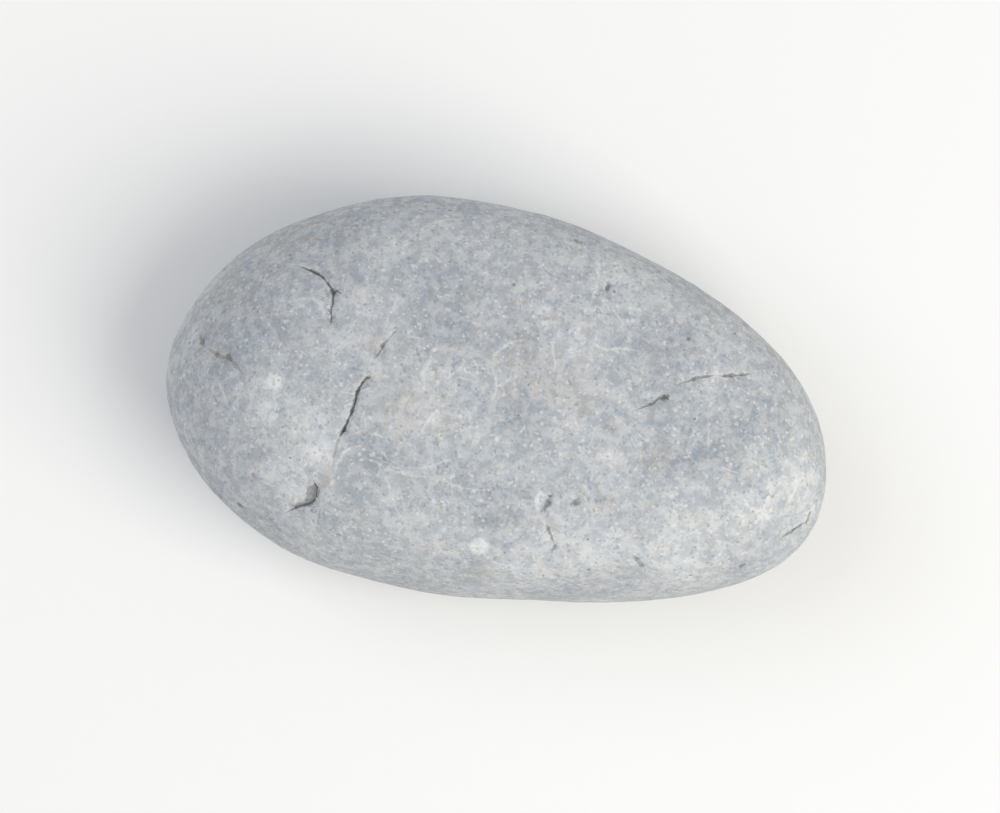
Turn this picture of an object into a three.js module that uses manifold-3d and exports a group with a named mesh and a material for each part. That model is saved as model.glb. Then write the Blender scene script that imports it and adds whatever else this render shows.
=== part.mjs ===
// River pebble: one stone of fine grey sandstone that moving water has worn to a flattened egg.
// It lies on its flattest side, with its length along X. The origin is under the middle of the
// stone, on the surface that it rests on. Millimetres, +Z up.

import * as THREE from "three";
import { mergeVertices } from "three/addons/utils/BufferGeometryUtils.js";
import Module from "manifold-3d";

// ---------- Driving dimensions ----------

const LENGTH = 75;
const WIDTH = 44.4;
const THICKNESS = 28;
const REST_WEAR = 0.35; // depth of stone worn away where it rests
const GRID = 22; // squares along each side of the cube that the stone's surface grid starts from

// The worn outline: an ellipsoid, and the flatter faces that abrasion has cut into it.
// A face looks out along its bearing, in degrees round from +X, and its rise above level.
// Its reach is its distance from the middle. The stone is then stretched to the sizes above.
const CORE = new THREE.Vector3(54.5, 25, 19);
const FACE_BLEND = 5; // a higher power leaves a crisper edge between two faces
const WORN_FACES = [
  { side: "far flank", bearing: 71, rise: -6, reach: 27 },
  { side: "far blunt corner", bearing: 127, rise: 5, reach: 35.3 },
  { side: "blunt end", bearing: -155, rise: -8, reach: 54 },
  { side: "near flank", bearing: -78, rise: 10, reach: 21.7 },
  { side: "near blunt corner", bearing: -114, rise: -4, reach: 44 },
  { side: "near narrow corner", bearing: -46, rise: 6, reach: 55 },
  { side: "narrow end", bearing: 1, rise: -5, reach: 49 },
  { side: "blunt shoulder", bearing: 160, rise: 38, reach: 32.6 },
  { side: "narrow shoulder", bearing: 20, rise: 32, reach: 36 },
  { side: "near shoulder", bearing: -120, rise: 44, reach: 26.7 },
  { side: "far underside", bearing: 60, rise: -40, reach: 27.4 },
  { side: "blunt underside", bearing: -150, rise: -35, reach: 40.5 },
  { side: "narrow underside", bearing: -20, rise: -40, reach: 35.7 },
  { side: "crown", bearing: 100, rise: 84, reach: 14.3 },
  { side: "base", bearing: 0, rise: -90, reach: 14.6 },
];

// Open cracks on the upper side: places along each, [X, Y] from above, and half the gap.
const CRACKS = [
  {
    name: "long crack",
    halfGap: 0.35,
    path: [[-14.9, 0.9], [-15.3, 0], [-15.8, -2], [-16.3, -4.5], [-16.7, -6.3], [-17.2, -8.4]],
  },
  {
    name: "hooked crack",
    halfGap: 0.3,
    path: [[-25, 10.4], [-23, 10.2], [-21.6, 9.5], [-20.8, 8.3], [-20.7, 7], [-20.5, 5.4]],
  },
  {
    name: "blunt end crack",
    halfGap: 0.3,
    path: [[-34, 0.2], [-33, -0.6], [-31, -0.9], [-29.8, -1.3], [-28.6, -2]],
  },
  {
    name: "narrow end crack",
    halfGap: 0.25,
    path: [[19.5, 7.2], [21.3, 8.1], [22.9, 8.7], [25, 9]],
  },
  {
    name: "short crack",
    halfGap: 0.25,
    path: [[15, 2.8], [16.2, 4.2], [17.3, 5], [18, 4.9]],
  },
];

// Chips and pits on the upper side: the middle [X, Y], half sizes [along, across, deep], and
// the turn of the long half size round from +X, in degrees.
const CHIPS = [
  { name: "scaled chip", at: [-19.4, -14.4], half: [2.2, 1.1, 0.5], turn: 57 },
  { name: "far pit", at: [8.7, 15.5], half: [0.6, 0.4, 0.4], turn: 45 },
  { name: "near slot", at: [7, -9], half: [0.8, 0.3, 0.4], turn: 85 },
  { name: "near pit", at: [10.2, -8.7], half: [0.4, 0.35, 0.35], turn: 0 },
  { name: "narrow end pit", at: [36.2, -4.8], half: [0.6, 0.45, 0.5], turn: 55 },
];

const STONE_GREY = 0xb8bcbf;

// ---------- Solids ----------

const wasm = await Module();
wasm.setup();

/** A closed three.js geometry as a solid that can be cut. */
function toSolid(geometry) {
  const bare = geometry.clone();
  bare.deleteAttribute("normal");
  bare.deleteAttribute("uv");
  const merged = mergeVertices(bare, 1e-4);
  const vertProperties = new Float32Array(merged.getAttribute("position").array);
  const triVerts = new Uint32Array(merged.getIndex().array);
  return new wasm.Manifold(new wasm.Mesh({ numProp: 3, vertProperties, triVerts }));
}

/** A solid back as a geometry with flat-shaded faces. */
function toGeometry(solid) {
  const { vertProperties, triVerts } = solid.getMesh();
  const geometry = new THREE.BufferGeometry();
  geometry.setAttribute("position", new THREE.BufferAttribute(vertProperties, 3));
  geometry.setIndex(new THREE.BufferAttribute(triVerts, 1));
  const faceted = geometry.toNonIndexed();
  faceted.computeVertexNormals();
  return faceted;
}

// ---------- The worn body ----------

/** The unit vector that looks out of a worn face. */
function faceNormal({ bearing, rise }) {
  const polar = THREE.MathUtils.degToRad(90 - rise);
  const round = THREE.MathUtils.degToRad(bearing);
  return new THREE.Vector3(
    Math.sin(polar) * Math.cos(round),
    Math.sin(polar) * Math.sin(round),
    Math.cos(polar),
  );
}

const faces = WORN_FACES.map((face) => ({ normal: faceNormal(face), reach: face.reach }));

/** How far the stone's surface is from its middle in a direction: the core and every worn
 *  face each give 1 over their own distance, and the blend is their power mean. */
function surfaceDistance(direction) {
  const core = direction.clone().divide(CORE).length();
  const sum = faces.reduce((total, { normal, reach }) => {
    const facing = Math.max(0, normal.dot(direction) / reach);
    return total + facing ** FACE_BLEND;
  }, core ** FACE_BLEND);
  return 1 / sum ** (1 / FACE_BLEND);
}

/** The stone before anything is cut from it: a cube's grid thrown out on to the worn surface,
 *  then stretched to size, with the depth of the rest's wear below Z = 0. */
function wornBody() {
  const cube = new THREE.BoxGeometry(2, 2, 2, GRID, GRID, GRID);
  cube.deleteAttribute("normal");
  cube.deleteAttribute("uv");
  const stone = mergeVertices(cube, 1e-4);
  const position = stone.getAttribute("position");
  const evenly = (side) => Math.tan((side * Math.PI) / 4); // gives squares of even angle
  for (let i = 0; i < position.count; i += 1) {
    const direction = new THREE.Vector3(
      evenly(position.getX(i)),
      evenly(position.getY(i)),
      evenly(position.getZ(i)),
    ).normalize();
    const point = direction.clone().multiplyScalar(surfaceDistance(direction));
    position.setXYZ(i, point.x, point.y, point.z);
  }
  stone.computeBoundingBox();
  const middle = stone.boundingBox.getCenter(new THREE.Vector3());
  const extent = stone.boundingBox.getSize(new THREE.Vector3());
  const height = THICKNESS + REST_WEAR;
  stone.translate(-middle.x, -middle.y, -middle.z);
  stone.scale(LENGTH / extent.x, WIDTH / extent.y, height / extent.z);
  stone.translate(0, 0, height / 2 - REST_WEAR);
  return stone;
}

/** Everything below Z = 0, where the stone has worn flat. */
function restCutter() {
  const depth = 10;
  const block = new THREE.BoxGeometry(2 * LENGTH, 2 * WIDTH, depth);
  block.translate(0, 0, -depth / 2);
  return block;
}

// ---------- Cracks, chips and pits ----------

/** The place on the upper side above a point of the plan, and the way its facet looks. */
function onTop(body, [x, y]) {
  const down = new THREE.Raycaster(new THREE.Vector3(x, y, 100), new THREE.Vector3(0, 0, -1));
  const [hit] = down.intersectObject(body);
  return { point: hit.point, normal: hit.face.normal };
}

/** The stone that a crack has lost: a six-sided rod that follows the surface, and that rises
 *  out of it at both ends, so that the gap closes to nothing there. */
function crackCutter(body, { path, halfGap }) {
  const last = path.length - 1;
  const points = path.map((place, i) => {
    const { point, normal } = onTop(body, place);
    const lift = i === 0 || i === last ? halfGap : 0;
    return point.addScaledVector(normal, lift);
  });
  const corners = Array.from({ length: 6 }, (_, i) => {
    const turn = ((i + 0.5) * Math.PI) / 3;
    return new THREE.Vector2(halfGap * Math.cos(turn), halfGap * Math.sin(turn));
  });
  return new THREE.ExtrudeGeometry(new THREE.Shape(corners), {
    extrudePath: new THREE.CatmullRomCurve3(points),
    steps: 3 * last,
    bevelEnabled: false,
  });
}

/** The scale or grain that has sprung off: a flattened ball set into the surface. */
function chipCutter(body, { at, half: [along, across, deep], turn }) {
  const { point, normal } = onTop(body, at);
  const ball = new THREE.IcosahedronGeometry(1, 2);
  ball.scale(along, across, deep);
  ball.rotateZ(THREE.MathUtils.degToRad(turn));
  const tip = new THREE.Quaternion().setFromUnitVectors(new THREE.Vector3(0, 0, 1), normal);
  ball.applyQuaternion(tip);
  ball.translate(point.x, point.y, point.z);
  return ball;
}

// ---------- The stone ----------

const body = new THREE.Mesh(wornBody());
const cutters = [
  restCutter(),
  ...CRACKS.map((crack) => crackCutter(body, crack)),
  ...CHIPS.map((chip) => chipCutter(body, chip)),
];
const stone = cutters.reduce(
  (solid, cutter) => solid.subtract(toSolid(cutter)),
  toSolid(body.geometry),
);

const greywacke = new THREE.MeshStandardMaterial({
  color: STONE_GREY,
  roughness: 0.85,
  metalness: 0,
});

const pebble = new THREE.Mesh(toGeometry(stone), greywacke);
pebble.name = "pebble";

const group = new THREE.Group();
group.add(pebble);

export default group;
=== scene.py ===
"""River pebble: the looks of one water-worn stone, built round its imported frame.

The stone is a closed grid of six joined squares, thrown out on to a worn egg shape and then marked
with what a river does to it: low swells, open cracks, a sprung scale, pits and pale scratches. Its
material is dry greywacke, a hard sandstone of fine grey grains. A small studio lights it on a pale
floor. Shapes are worked out in millimetres and put into the meshes in metres.
"""

from __future__ import annotations

import logging
import math
from dataclasses import dataclass
from enum import Enum

import bpy
import numpy as np
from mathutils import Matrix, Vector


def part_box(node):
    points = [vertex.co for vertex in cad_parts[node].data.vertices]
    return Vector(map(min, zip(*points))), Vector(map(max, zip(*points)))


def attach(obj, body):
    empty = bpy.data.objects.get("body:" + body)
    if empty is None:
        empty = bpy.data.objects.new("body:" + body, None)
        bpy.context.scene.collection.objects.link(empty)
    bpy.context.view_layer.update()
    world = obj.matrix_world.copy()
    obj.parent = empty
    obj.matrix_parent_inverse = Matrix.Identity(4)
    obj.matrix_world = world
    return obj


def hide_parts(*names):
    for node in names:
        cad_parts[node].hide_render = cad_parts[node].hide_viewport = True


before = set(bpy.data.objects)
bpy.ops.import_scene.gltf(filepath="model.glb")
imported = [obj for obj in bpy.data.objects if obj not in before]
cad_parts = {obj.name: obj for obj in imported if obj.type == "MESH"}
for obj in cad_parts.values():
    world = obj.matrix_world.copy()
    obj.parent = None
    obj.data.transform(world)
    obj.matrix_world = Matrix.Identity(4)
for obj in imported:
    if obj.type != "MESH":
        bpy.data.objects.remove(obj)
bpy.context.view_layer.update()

MM = 0.001  # metres in a millimetre
LOG = logging.getLogger("river pebble")

Point = tuple[float, float]
Marks = dict[str, np.ndarray]
Tree = bpy.types.NodeTree
Socket = bpy.types.NodeSocket
Patterns = dict[str, Socket]


# ---------- Marks on the stone ----------


def heading(bearing: float, rise: float) -> np.ndarray:
    """The unit vector that points along a bearing round from +X and up by a rise, in degrees."""
    level, up = math.radians(bearing), math.radians(rise)
    return np.array([math.cos(up) * math.cos(level), math.cos(up) * math.sin(level), math.sin(up)])


class Side(Enum):
    """The side of the stone that a mark is on.

    Places on the crown and the base are seen from above, in mm along X and Y. Places on the flank
    are a bearing in degrees round from +X and a height above the ground in mm.
    """

    CROWN = "crown"
    BASE = "base"
    FLANK = "flank"


class LineKind(Enum):
    """What a line on the stone is. The value is its tone, from -1, dark, to 1, pale."""

    CRACK = -1.0
    SILTED = -0.7
    HAIRLINE = -0.45
    SCRATCH = 0.8
    BRUISE = 1.0


@dataclass(frozen=True)
class WornFace:
    """A flatter face that abrasion has cut into the stone's outline.

    The face looks out along its bearing, in degrees round from +X, and its rise above level. Its
    reach is its distance from the middle in mm, before the stone is stretched to size.
    """

    bearing: float
    rise: float
    reach: float

    def normal(self) -> np.ndarray:
        """The unit vector that looks out of the face."""
        return heading(self.bearing, self.rise)


@dataclass(frozen=True)
class Line:
    """A crack, scratch or bruise that follows the surface along a path. A silted crack is paler,
    for it is nearly filled, and a hairline is closed.

    It shows about twice half_gap wide, and its groove is as deep as it says. Where scoop isn't 0,
    a scale of stone that wide has sprung off along the line's right.
    """

    kind: LineKind
    path: tuple[Point, ...]
    half_gap: float
    depth: float = 0.0
    scoop: float = 0.0
    side: Side = Side.CROWN


@dataclass(frozen=True)
class Pit:
    """A place where a few grains are gone: its middle, its half sizes along and across in mm, its
    depth, and the turn of its length round from +X in degrees."""

    at: Point
    half: tuple[float, float]
    depth: float
    turn: float = 0.0
    side: Side = Side.CROWN


@dataclass(frozen=True)
class Cloud:
    """A patch of paler, darker or warmer stone: its middle, its radius in mm, how much paler it is
    (below 0 for darker) and how much browner, from 0 to 1. Its edge is crisper the higher the
    power that it falls off by."""

    at: Point
    radius: float
    lift: float
    warmth: float = 0.0
    side: Side = Side.CROWN
    power: float = 2.0


WORN_FACES = (
    WornFace(71, -6, 27),  # far flank
    WornFace(127, 5, 35.3),  # far blunt corner
    WornFace(-155, -8, 54),  # blunt end
    WornFace(-78, 10, 21.7),  # near flank
    WornFace(-114, -4, 44),  # near blunt corner
    WornFace(-46, 6, 55),  # near narrow corner
    WornFace(1, -5, 49),  # narrow end
    WornFace(160, 38, 32.6),  # blunt shoulder
    WornFace(20, 32, 36),  # narrow shoulder
    WornFace(-120, 44, 26.7),  # near shoulder
    WornFace(60, -40, 27.4),  # far underside
    WornFace(-150, -35, 40.5),  # blunt underside
    WornFace(-20, -40, 35.7),  # narrow underside
    WornFace(100, 84, 14.3),  # crown
    WornFace(0, -90, 14.6),  # base
)

LINES = (
    # the long crack across the blunt end: an open stretch, its stub and its closed ends
    Line(
        LineKind.CRACK,
        (
            (-14.7, 0.4),
            (-15.3, -0.4),
            (-15.7, -1.7),
            (-15.8, -3.4),
            (-16.1, -5.1),
            (-16.4, -6.3),
            (-16.7, -7.2),
        ),
        0.15,
        0.46,
    ),
    Line(LineKind.SILTED, ((-13.8, 4.6), (-14.1, 3.6), (-14.7, 2)), 0.2, 0.26),
    Line(LineKind.HAIRLINE, ((-16.6, -7), (-16.75, -8.2), (-16.8, -10.2)), 0.12, 0.05),
    Line(LineKind.HAIRLINE, ((-17, -15.1), (-17.1, -16), (-17, -17.2)), 0.13, 0.05),
    Line(LineKind.HAIRLINE, ((-12.8, 6), (-13.4, 5), (-13.9, 4)), 0.1, 0.03),
    # the hooked crack and its branch
    Line(
        LineKind.CRACK,
        (
            (-25.8, 10.4),
            (-24.4, 10.5),
            (-23.2, 10.3),
            (-22.4, 10),
            (-21.4, 9.3),
            (-20.7, 8.5),
            (-20.5, 7.6),
            (-20.4, 6.3),
            (-20.1, 4.9),
        ),
        0.15,
        0.35,
    ),
    Line(LineKind.CRACK, ((-20.8, 8.6), (-20.4, 8.7), (-19.6, 8.5)), 0.12, 0.2),
    # the blunt end's short crack, in two stretches
    Line(LineKind.HAIRLINE, ((-34.6, 1), (-34.1, 0.2), (-33.5, -0.4)), 0.26, 0.2),
    Line(
        LineKind.HAIRLINE,
        ((-33.3, -0.3), (-31.8, -1), (-30.8, -0.9), (-30.1, -1.3), (-28.2, -2.6)),
        0.34,
        0.26,
    ),
    # the sprung scale: its steep wall, with the scoop on the right
    Line(
        LineKind.CRACK,
        ((-18.7, -12), (-18.05, -13.2), (-18, -14.5), (-18.5, -15.2), (-19.4, -15.6), (-21.3, -16.8)),
        0.1,
        0.46,
        scoop=1.6,
    ),
    # two fine cracks towards the narrow end, the second in two dashes
    Line(LineKind.SILTED, ((14.4, 2.6), (16.4, 3.9), (17, 4.6), (17.5, 4.9), (18.3, 4.5)), 0.21, 0.28),
    Line(LineKind.HAIRLINE, ((18.4, 6.4), (19.4, 6.9), (20.6, 7.5)), 0.12, 0.04),
    Line(LineKind.SILTED, ((19.6, 7), (21, 7.8), (22.3, 8.3)), 0.25, 0.28),
    Line(LineKind.SILTED, ((23.1, 8.4), (24.6, 8.8), (26.3, 9.3)), 0.26, 0.3),
    # nicks near the near flank and the narrow end
    Line(LineKind.SILTED, ((7.6, -11.5), (8.2, -12.4), (9, -13.6)), 0.16, 0.2),
    Line(LineKind.HAIRLINE, ((17.7, -13), (18.5, -13.6), (19.6, -14.7)), 0.28, 0.24),
    Line(LineKind.SILTED, ((36.2, -5.2), (34.8, -6.8), (33.5, -7.9)), 0.24, 0.28),
    Line(LineKind.HAIRLINE, ((1.2, 16.2), (2.2, 15.5), (3.7, 15.1)), 0.1, 0.08),
    # pale scratches
    Line(LineKind.SCRATCH, ((-24.9, 6.4), (-23.6, 7.1), (-22.3, 7.2), (-21.3, 6.3), (-20.9, 4.9)), 0.3),
    Line(LineKind.SCRATCH, ((-14.6, 2.8), (-14.9, 1.8), (-15.1, 0.8)), 0.2),
    Line(LineKind.SCRATCH, ((-13.2, 10.4), (-13.9, 7.6), (-14.3, 4.8)), 0.16),
    Line(LineKind.SCRATCH, ((-15.6, -7.9), (-16.1, -9.4), (-16.3, -11)), 0.2),
    Line(LineKind.SCRATCH, ((-2.2, 4.4), (-1.2, 6.2), (0, 7.3), (1.6, 7.8)), 0.22),
    Line(LineKind.SCRATCH, ((8.2, 9.1), (10, 8.6), (12, 9.1), (14, 9.3)), 0.26),
    Line(LineKind.SCRATCH, ((10.1, 12.9), (11.8, 11.4), (12.7, 9.6)), 0.24),
    Line(LineKind.SCRATCH, ((-13.4, -8.5), (-9.5, -9.4), (-5.2, -9.2)), 0.2),
    Line(LineKind.SCRATCH, ((-12.2, -7.2), (-10.6, -8.3), (-8.4, -8.8)), 0.16),
    Line(LineKind.SCRATCH, ((-4.2, -9.3), (-2.2, -9.6), (0.2, -9.4)), 0.18),
    Line(LineKind.SCRATCH, ((7.1, 18.6), (7.5, 16.8), (7.7, 15), (7.3, 12.4)), 0.3),
    Line(LineKind.BRUISE, ((30.6, -1.5), (31.3, -3.1), (30.9, -5), (30.2, -7)), 0.42),
    Line(LineKind.BRUISE, ((32.2, -1.5), (31.6, -2.6), (31.2, -3.4)), 0.36),
    Line(LineKind.BRUISE, ((33.6, -0.6), (33.9, -2.2), (33.2, -4.2)), 0.34),
    Line(LineKind.BRUISE, ((28.2, -4.2), (29.3, -5.2), (30.8, -5.4), (32.4, -6.6)), 0.34),
    Line(LineKind.BRUISE, ((35.6, -4.6), (36.3, -4.1), (36.6, -3.2)), 0.42),
    Line(LineKind.BRUISE, ((6.6, -7.9), (6.1, -8.8), (6.3, -9.7), (6.4, -10.5)), 0.4),
    # the hidden sides' own cracks and scratches
    Line(
        LineKind.CRACK,
        ((12.5, 9), (11.4, 6.4), (11.8, 3.2), (10.6, 0.4), (10.9, -2.6)),
        0.18,
        0.45,
        side=Side.BASE,
    ),
    Line(LineKind.CRACK, ((-26, -6), (-23.6, -5.2), (-22, -3.4)), 0.16, 0.3, side=Side.BASE),
    Line(LineKind.SCRATCH, ((-14, 8), (-11, 9.6), (-7.6, 10.2)), 0.25, side=Side.BASE),
    Line(LineKind.SCRATCH, ((22, -8), (25, -6), (27, -3)), 0.25, side=Side.BASE),
    Line(
        LineKind.SILTED,
        ((-57, 13.4), (-60, 12.4), (-64, 11.9), (-68, 10.8)),
        0.15,
        0.25,
        side=Side.FLANK,
    ),
    Line(LineKind.HAIRLINE, ((-64, 12), (-66, 12.7), (-68, 12.9)), 0.12, 0.1, side=Side.FLANK),
    Line(LineKind.SILTED, ((47, 16.5), (45, 14), (45.6, 12)), 0.16, 0.22, side=Side.FLANK),
    Line(LineKind.CRACK, ((118, 11), (112, 9.4), (107, 9.8)), 0.15, 0.28, side=Side.FLANK),
    Line(LineKind.CRACK, ((-172, 12), (-176, 10.4), (-178, 7.6)), 0.16, 0.3, side=Side.FLANK),
    Line(LineKind.SCRATCH, ((-100, 15), (-94, 13.6), (-88, 13.8)), 0.24, side=Side.FLANK),
    Line(LineKind.SCRATCH, ((70, 8), (76, 9.6), (84, 10)), 0.22, side=Side.FLANK),
    Line(LineKind.SCRATCH, ((150, 14), (154, 11.5), (156, 9)), 0.24, side=Side.FLANK),
    Line(LineKind.SCRATCH, ((-12, 15), (-16, 12.6), (-17, 9.8)), 0.26, side=Side.FLANK),
)

PITS = (
    Pit((-16.4, -6.3), (0.5, 0.3), 0.35, 65),  # the long crack's ends, where grains have gone
    Pit((-14.9, 0.1), (0.45, 0.28), 0.3, 40),
    Pit((-18.5, -13.8), (1.35, 0.75), 0.32, 80),  # the sprung scale's deepest part and its tail
    Pit((-18.8, -14.8), (0.9, 0.6), 0.24, 45),
    Pit((-20.1, -15.8), (1.5, 0.42), 0.2, 32),
    Pit((-20.6, 8.5), (0.4, 0.3), 0.25),  # the hooked crack's knee and foot
    Pit((-20.2, 5.4), (0.55, 0.26), 0.25, 80),
    Pit((-34, 0.2), (0.8, 0.55), 0.16, -60),
    Pit((-30.8, -0.9), (1, 0.5), 0.17, -20),
    Pit((8.9, 15.4), (0.75, 0.33), 0.45, 50),
    Pit((7.8, 14.3), (0.3, 0.22), 0.2, 60),
    Pit((7.3, -9.3), (0.95, 0.3), 0.55, 76),
    Pit((10.2, -8.7), (0.4, 0.38), 0.5),
    Pit((9, -14), (0.5, 0.32), 0.3, 85),
    Pit((36.3, -5), (0.7, 0.45), 0.45, 60),
    Pit((17.6, 4.8), (0.5, 0.34), 0.27, 20),
    Pit((-26.2, -16.9), (0.8, 0.5), 0.36, 40),
    Pit((30, -11.9), (0.5, 0.35), 0.3, 30),
    Pit((32.4, -10.6), (0.5, 0.3), 0.15, 30),
    Pit((4.6, 19.7), (0.9, 0.26), 0.2, -8),
    Pit((-2, 20.5), (0.7, 0.24), 0.15, 0),
    Pit((8.2, 2.1), (0.42, 0.2), 0.16, 70),
    Pit((15.4, -8.6), (0.6, 0.22), 0.1, 15),
    Pit((-8, 6), (0.6, 0.4), 0.4, 20, Side.BASE),
    Pit((19, 8), (0.5, 0.35), 0.35, 60, Side.BASE),
    Pit((4, -12), (0.9, 0.45), 0.4, -30, Side.BASE),
    Pit((-84, 9), (0.5, 0.4), 0.35, 0, Side.FLANK),
    Pit((22, 10.5), (0.5, 0.4), 0.35, 0, Side.FLANK),
    Pit((95, 15.5), (0.5, 0.4), 0.35, 0, Side.FLANK),
    Pit((-150, 14), (0.5, 0.4), 0.35, 0, Side.FLANK),
)

CLOUDS = (
    # pale bruises
    Cloud((-24.9, -2.4), 1.0, 1.15, power=5),
    Cloud((-23.8, 2), 0.7, 0.6),
    Cloud((-25.2, -5.2), 1.2, 0.5),
    Cloud((1, -15.4), 1.1, 1.3, power=8),
    Cloud((5, -17), 0.6, 0.6),
    Cloud((2.8, 11.5), 0.65, 0.7, power=4),
    Cloud((4.8, 8.7), 0.6, 0.6, power=4),
    # the next two, beside the dashed crack: pale, partly crushed stone and partly painted highlight
    Cloud((22.6, 8.9), 0.55, 0.9, power=4),
    Cloud((21.5, 6.8), 0.6, 0.8, power=4),
    Cloud((-26, 6.1), 0.8, 0.6, power=4),
    Cloud((-15.8, 15.8), 0.9, 0.6),
    Cloud((9.2, 17.5), 1.2, 0.5),
    Cloud((-23.6, -12.4), 1.4, 0.6),
    Cloud((13, -2.5), 0.9, 0.6),
    Cloud((-18.6, -9.4), 1.3, 0.6),
    # pale zones
    Cloud((-19, -7), 4.0, 0.55),
    Cloud((-20.6, -13.8), 3.2, 0.5),
    Cloud((14.5, -12.8), 3.5, 0.6),
    Cloud((9, -16.5), 4.5, 0.5),
    Cloud((22, -12), 5.0, 0.5),
    Cloud((34.5, -2), 4.5, 0.7),
    Cloud((-16.5, 8), 3.0, 0.5),
    Cloud((-13.2, 1), 1.4, 0.5, 0.3),
    # warm zones
    Cloud((-8.5, -2.2), 3.6, 0.1, 0.45),
    Cloud((-12.2, -1), 2.0, 0.15, 0.45),
    Cloud((0, 4.6), 2.6, 0.15, 0.4),
    Cloud((5.4, 4.2), 3.2, 0.1, 0.5),
    Cloud((8.6, 1.8), 1.1, -0.3, 0.9),
    Cloud((12.4, 0.4), 0.9, -0.1, 0.6),
    Cloud((17.6, -2.3), 1.4, -0.1, 0.7),
    Cloud((13.6, -7.8), 0.9, -0.1, 0.7),
    Cloud((-14.9, 4), 1.2, -0.1, 0.8),
    Cloud((-17.2, -11.4), 0.8, -0.1, 0.8),
    Cloud((-17.4, -13), 0.8, -0.1, 0.8),
    Cloud((2, -18.4), 1.6, -0.1, 0.6),
    # at (-33.4, 6.5) and (-27, 14), on the blunt end's far edge: darker and browner, partly stain and
    # partly painted shade
    Cloud((-33.4, 6.5), 3.0, -0.15, 0.6),
    Cloud((-29.4, 5.6), 2.4, -0.1, 0.4),
    Cloud((-27, 14), 4.0, -0.1, 0.5),
    Cloud((-34, 1), 1.4, -0.2, 0.6),
    Cloud((-31.4, -1.2), 1.3, -0.2, 0.6),
    # blue-grey zones
    Cloud((-6.9, 9.8), 5.0, -0.45),
    Cloud((24, 0), 2.4, -0.5),
    Cloud((29, -1.4), 1.8, -0.5),
    Cloud((27, 5), 4.0, -0.35),
    Cloud((-12, -8.6), 3.2, -0.5),
    Cloud((2.1, -1.7), 3.6, -0.35),
    Cloud((1.5, -11.5), 3.6, -0.4),
    Cloud((16, 11), 4.0, -0.25),
    # the hidden side's
    Cloud((-20, 4), 6.0, 0.4, 0.3, Side.BASE),
    Cloud((16, -6), 5.0, -0.4, 0.0, Side.BASE),
    Cloud((2, 12), 3.0, 0.6, 0.0, Side.BASE),
    Cloud((-2, -9), 4.0, 0.1, 0.6, Side.BASE),
    Cloud((-70, 10), 4.0, 0.4, 0.2, Side.FLANK),
    Cloud((60, 12), 4.0, -0.3, 0.4, Side.FLANK),
    Cloud((-160, 9), 3.0, 0.5, 0.2, Side.FLANK),
)


# ---------- Shapes worked out on arrays ----------


def waves(points: np.ndarray, wavelength: float, seed: int, count: int = 32) -> np.ndarray:
    """Smooth seeded relief: the sum of plane waves of nearly one wavelength that run in random
    directions with random phases, scaled so that its spread is 1.

    Args:
        points: places in mm, one to a row.
        wavelength: the middle wavelength in mm; the waves' own are 0.7 to 1.4 times as long.
        seed: which relief it is.
        count: how many waves.

    Returns:
        One height for each point.
    """
    random = np.random.default_rng(seed)
    ways = random.normal(size=(count, 3))
    ways /= np.linalg.norm(ways, axis=1, keepdims=True)
    pitch = 2 * np.pi / (wavelength * random.uniform(0.7, 1.4, count))
    phase = random.uniform(0, 2 * np.pi, count)
    return np.sin(points @ (ways * pitch[:, None]).T + phase).sum(1) * math.sqrt(2 / count)


def smooth_step(value: np.ndarray, low: float, high: float) -> np.ndarray:
    """0 up to low, 1 from high on, and the cubic 3t^2 - 2t^3 between them."""
    t = np.clip((value - low) / (high - low), 0, 1)
    return t * t * (3 - 2 * t)


def through(points: np.ndarray, spacing: float) -> np.ndarray:
    """Rounds a path off into a Catmull-Rom curve: each stretch is the cubic whose slope at either
    end is half the step between that end's neighbours.

    Args:
        points: the path's places in mm.
        spacing: how far apart the curve's places are at most.

    Returns:
        Places on the curve that goes through all the given points.
    """
    ends = np.vstack([2 * points[0] - points[1], points, 2 * points[-1] - points[-2]])
    steps = max(2, math.ceil(np.linalg.norm(np.diff(points, axis=0), axis=1).max() / spacing))
    t = np.arange(steps)[:, None, None] / steps
    before, start, end, after = (ends[i : len(ends) - 3 + i] for i in range(4))
    bend = 2 * before - 5 * start + 4 * end - after
    twist = 3 * start - before - 3 * end + after
    curve = 0.5 * (2 * start + (end - before) * t + bend * t**2 + twist * t**3)
    return np.vstack([curve.transpose(1, 0, 2).reshape(-1, points.shape[1]), points[-1:]])


def vertex_normals(points: np.ndarray, quads: np.ndarray) -> np.ndarray:
    """The way the surface faces at its points: at each, the sum of its quads' normals, where a
    quad's normal is the cross product of its diagonals.

    Args:
        points: the surface's points.
        quads: the numbers of each quad's four corners.

    Returns:
        One unit normal for each point.
    """
    corners = points[quads]
    facing = np.cross(corners[:, 2] - corners[:, 0], corners[:, 3] - corners[:, 1])
    total = np.zeros_like(points)
    for corner in range(4):
        np.add.at(total, quads[:, corner], facing)
    return total / np.linalg.norm(total, axis=1, keepdims=True)


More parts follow.
